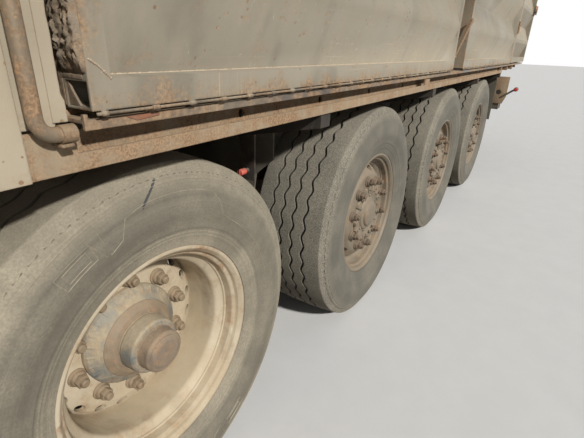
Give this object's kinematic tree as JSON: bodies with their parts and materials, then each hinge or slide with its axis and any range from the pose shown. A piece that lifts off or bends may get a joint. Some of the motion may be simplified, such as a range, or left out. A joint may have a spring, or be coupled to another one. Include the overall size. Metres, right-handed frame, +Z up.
{
  "type": "dump truck",
  "caption": "Rigid multi-axle dump truck with drop-side steel tipping body, tilting cab, steered front wheels and a telescopic front cylinder.",
  "frame": {"origin": "on the ground, at the middle of the truck's length and width", "axes": "+X forward, +Y to the truck's left, +Z up"},
  "size_m": [9.76, 2.9, 2.9591],
  "materials": {
    "body_paint": "dusty beige-grey paint with rust at the edges",
    "post_paint": "dark dusty paint",
    "frame_paint": "dark frame paint under dust and rust",
    "floor_steel": "worn bare plate",
    "spring_steel": "black spring leaves, dusty",
    "axle_iron": "dusty cast iron",
    "engine_iron": "cast grey with dust",
    "equipment_paint": "dusty grey paint",
    "cab_paint": "dusty light beige paint",
    "cab_trim": "dark grey plastic",
    "lamp_lens": "clear and red lenses",
    "pipe_steel": "dull steel pipe",
    "flap_rubber": "dusty rubber sheet",
    "glass": "clear glass",
    "cylinder_paint": "black painted tube",
    "chrome_rod": "polished sliding stages",
    "tyre": "dusty tyre rubber",
    "rim_paint": "beige wheel paint under dust and rust"
  },
  "bodies": {
    "root": {"chassis_rails": "frame_paint", "crossmembers": "frame_paint", "side_channels": "frame_paint", "outriggers": "frame_paint", "springs": "spring_steel", "front_axle": "axle_iron", "rear_axles": "axle_iron", "driveline": "engine_iron", "frame_equipment": "equipment_paint", "front_bumper": "cab_trim", "lamps": "lamp_lens", "cabinets": "body_paint", "hydraulic_pipe": "pipe_steel", "mudflaps": "flap_rubber", "rear_bar": "frame_paint"},
    "cab": {"cab_shell": "cab_paint", "cab_glass": "glass", "cab_interior": "cab_trim", "cab_grille": "cab_trim"},
    "bed": {"bed_floor": "floor_steel", "bed_bearers": "frame_paint", "headboard": "body_paint", "bed_posts": "post_paint", "rear_sides": "body_paint"},
    "tailgate": {"tailgate": "body_paint"},
    "tube": {"cylinder_tube": "cylinder_paint"},
    "stage_1": {"cylinder_stage_1": "chrome_rod"},
    "stage_2": {"cylinder_stage_2": "chrome_rod"},
    "stage_3": {"cylinder_stage_3": "chrome_rod"},
    "stage_4": {"cylinder_stage_4": "chrome_rod"},
    "door_left": {"door_left": "cab_paint", "door_glass_left": "glass"},
    "knuckle_left": {"knuckle_left": "axle_iron"},
    "drop_side_front_left": {"drop_side_front_left": "body_paint"},
    "drop_side_rear_left": {"drop_side_rear_left": "body_paint"},
    "door_right": {"door_right": "cab_paint", "door_glass_right": "glass"},
    "knuckle_right": {"knuckle_right": "axle_iron"},
    "drop_side_front_right": {"drop_side_front_right": "body_paint"},
    "drop_side_rear_right": {"drop_side_rear_right": "body_paint"},
    "wheel_steer_left": {"tyre_steer_left": "tyre", "rim_steer_left": "rim_paint"},
    "wheel_steer_right": {"tyre_steer_right": "tyre", "rim_steer_right": "rim_paint"},
    "wheel_drive_left": {"tyre_drive_left": "tyre", "rim_drive_left": "rim_paint"},
    "wheel_drive_right": {"tyre_drive_right": "tyre", "rim_drive_right": "rim_paint"},
    "wheel_trail_1_left": {"tyre_trail_1_left": "tyre", "rim_trail_1_left": "rim_paint"},
    "wheel_trail_1_right": {"tyre_trail_1_right": "tyre", "rim_trail_1_right": "rim_paint"},
    "wheel_trail_2_left": {"tyre_trail_2_left": "tyre", "rim_trail_2_left": "rim_paint"},
    "wheel_trail_2_right": {"tyre_trail_2_right": "tyre", "rim_trail_2_right": "rim_paint"},
    "wheel_trail_3_left": {"tyre_trail_3_left": "tyre", "rim_trail_3_left": "rim_paint"},
    "wheel_trail_3_right": {"tyre_trail_3_right": "tyre", "rim_trail_3_right": "rim_paint"}
  },
  "joints": [
    {"name": "cab_tilt", "type": "hinge", "parent": "root", "child": "cab", "pos_m": [4.66, 0, 0.82], "axis": [0, 1, 0], "range_deg": [0, 55]},
    {"name": "bed_tip", "type": "hinge", "parent": "root", "child": "bed", "pos_m": [-4.14, 0, 1.04], "axis": [0, -1, 0], "range_deg": [0, 46]},
    {"name": "tailgate_swing", "type": "hinge", "parent": "bed", "child": "tailgate", "pos_m": [-4.834, 0, 2.205], "axis": [0, 1, 0], "range_deg": [0, 70]},
    {"name": "cylinder_foot", "type": "hinge", "parent": "root", "child": "tube", "pos_m": [2.01, 0, 0.8], "axis": [0, -1, 0], "range_deg": [0, 22.86]},
    {"name": "stage_1_slide", "type": "slide", "parent": "tube", "child": "stage_1", "axis": [-0.0783, 0, 0.9969], "range_m": [0, 1.16623]},
    {"name": "stage_2_slide", "type": "slide", "parent": "stage_1", "child": "stage_2", "axis": [-0.0783, 0, 0.9969], "range_m": [0, 1.16623]},
    {"name": "stage_3_slide", "type": "slide", "parent": "stage_2", "child": "stage_3", "axis": [-0.0783, 0, 0.9969], "range_m": [0, 1.16623]},
    {"name": "stage_4_slide", "type": "slide", "parent": "stage_3", "child": "stage_4", "axis": [-0.0783, 0, 0.9969], "range_m": [0, 1.16623]},
    {"name": "door_left_hinge", "type": "hinge", "parent": "cab", "child": "door_left", "pos_m": [4.632, 1.15, 2], "axis": [0, 0, -1], "range_deg": [0, 70]},
    {"name": "steer_left", "type": "hinge", "parent": "root", "child": "knuckle_left", "pos_m": [3.51, 0.93, 0.52], "axis": [0, 0, 1], "range_deg": [-38, 38]},
    {"name": "drop_side_front_left_hinge", "type": "hinge", "parent": "bed", "child": "drop_side_front_left", "pos_m": [0, 1.277, 1.1654], "axis": [-1, 0, 0], "range_deg": [0, 175]},
    {"name": "drop_side_rear_left_hinge", "type": "hinge", "parent": "bed", "child": "drop_side_rear_left", "pos_m": [0, 1.277, 1.1654], "axis": [-1, 0, 0], "range_deg": [0, 175]},
    {"name": "door_right_hinge", "type": "hinge", "parent": "cab", "child": "door_right", "pos_m": [4.632, -1.15, 2], "axis": [0, 0, 1], "range_deg": [0, 70]},
    {"name": "steer_right", "type": "hinge", "parent": "root", "child": "knuckle_right", "pos_m": [3.51, -0.93, 0.52], "axis": [0, 0, 1], "range_deg": [-38, 38]},
    {"name": "drop_side_front_right_hinge", "type": "hinge", "parent": "bed", "child": "drop_side_front_right", "pos_m": [0, -1.277, 1.1654], "axis": [1, 0, 0], "range_deg": [0, 175]},
    {"name": "drop_side_rear_right_hinge", "type": "hinge", "parent": "bed", "child": "drop_side_rear_right", "pos_m": [0, -1.277, 1.1654], "axis": [1, 0, 0], "range_deg": [0, 175]},
    {"name": "wheel_steer_left_spin", "type": "hinge", "parent": "knuckle_left", "child": "wheel_steer_left", "pos_m": [3.51, 1.053, 0.52], "axis": [0, 1, 0], "continuous": true},
    {"name": "wheel_steer_right_spin", "type": "hinge", "parent": "knuckle_right", "child": "wheel_steer_right", "pos_m": [3.51, -1.053, 0.52], "axis": [0, 1, 0], "continuous": true},
    {"name": "wheel_drive_left_spin", "type": "hinge", "parent": "root", "child": "wheel_drive_left", "pos_m": [1.556, 1.053, 0.52], "axis": [0, 1, 0], "continuous": true},
    {"name": "wheel_drive_right_spin", "type": "hinge", "parent": "root", "child": "wheel_drive_right", "pos_m": [1.556, -1.053, 0.52], "axis": [0, 1, 0], "continuous": true},
    {"name": "wheel_trail_1_left_spin", "type": "hinge", "parent": "root", "child": "wheel_trail_1_left", "pos_m": [0.31, 1.053, 0.52], "axis": [0, 1, 0], "continuous": true},
    {"name": "wheel_trail_1_right_spin", "type": "hinge", "parent": "root", "child": "wheel_trail_1_right", "pos_m": [0.31, -1.053, 0.52], "axis": [0, 1, 0], "continuous": true},
    {"name": "wheel_trail_2_left_spin", "type": "hinge", "parent": "root", "child": "wheel_trail_2_left", "pos_m": [-0.998, 1.053, 0.52], "axis": [0, 1, 0], "continuous": true},
    {"name": "wheel_trail_2_right_spin", "type": "hinge", "parent": "root", "child": "wheel_trail_2_right", "pos_m": [-0.998, -1.053, 0.52], "axis": [0, 1, 0], "continuous": true},
    {"name": "wheel_trail_3_left_spin", "type": "hinge", "parent": "root", "child": "wheel_trail_3_left", "pos_m": [-2.306, 1.053, 0.52], "axis": [0, 1, 0], "continuous": true},
    {"name": "wheel_trail_3_right_spin", "type": "hinge", "parent": "root", "child": "wheel_trail_3_right", "pos_m": [-2.306, -1.053, 0.52], "axis": [0, 1, 0], "continuous": true}
  ],
  "couplings": [
    {"joint": "cylinder_foot", "follows": "bed_tip", "ratio": 0.49698},
    {"joint": "stage_1_slide", "follows": "bed_tip", "m_per_rad": 1.4526},
    {"joint": "stage_2_slide", "follows": "bed_tip", "m_per_rad": 1.4526},
    {"joint": "stage_3_slide", "follows": "bed_tip", "m_per_rad": 1.4526},
    {"joint": "stage_4_slide", "follows": "bed_tip", "m_per_rad": 1.4526},
    {"joint": "steer_right", "follows": "steer_left", "ratio": 1}
  ]
}
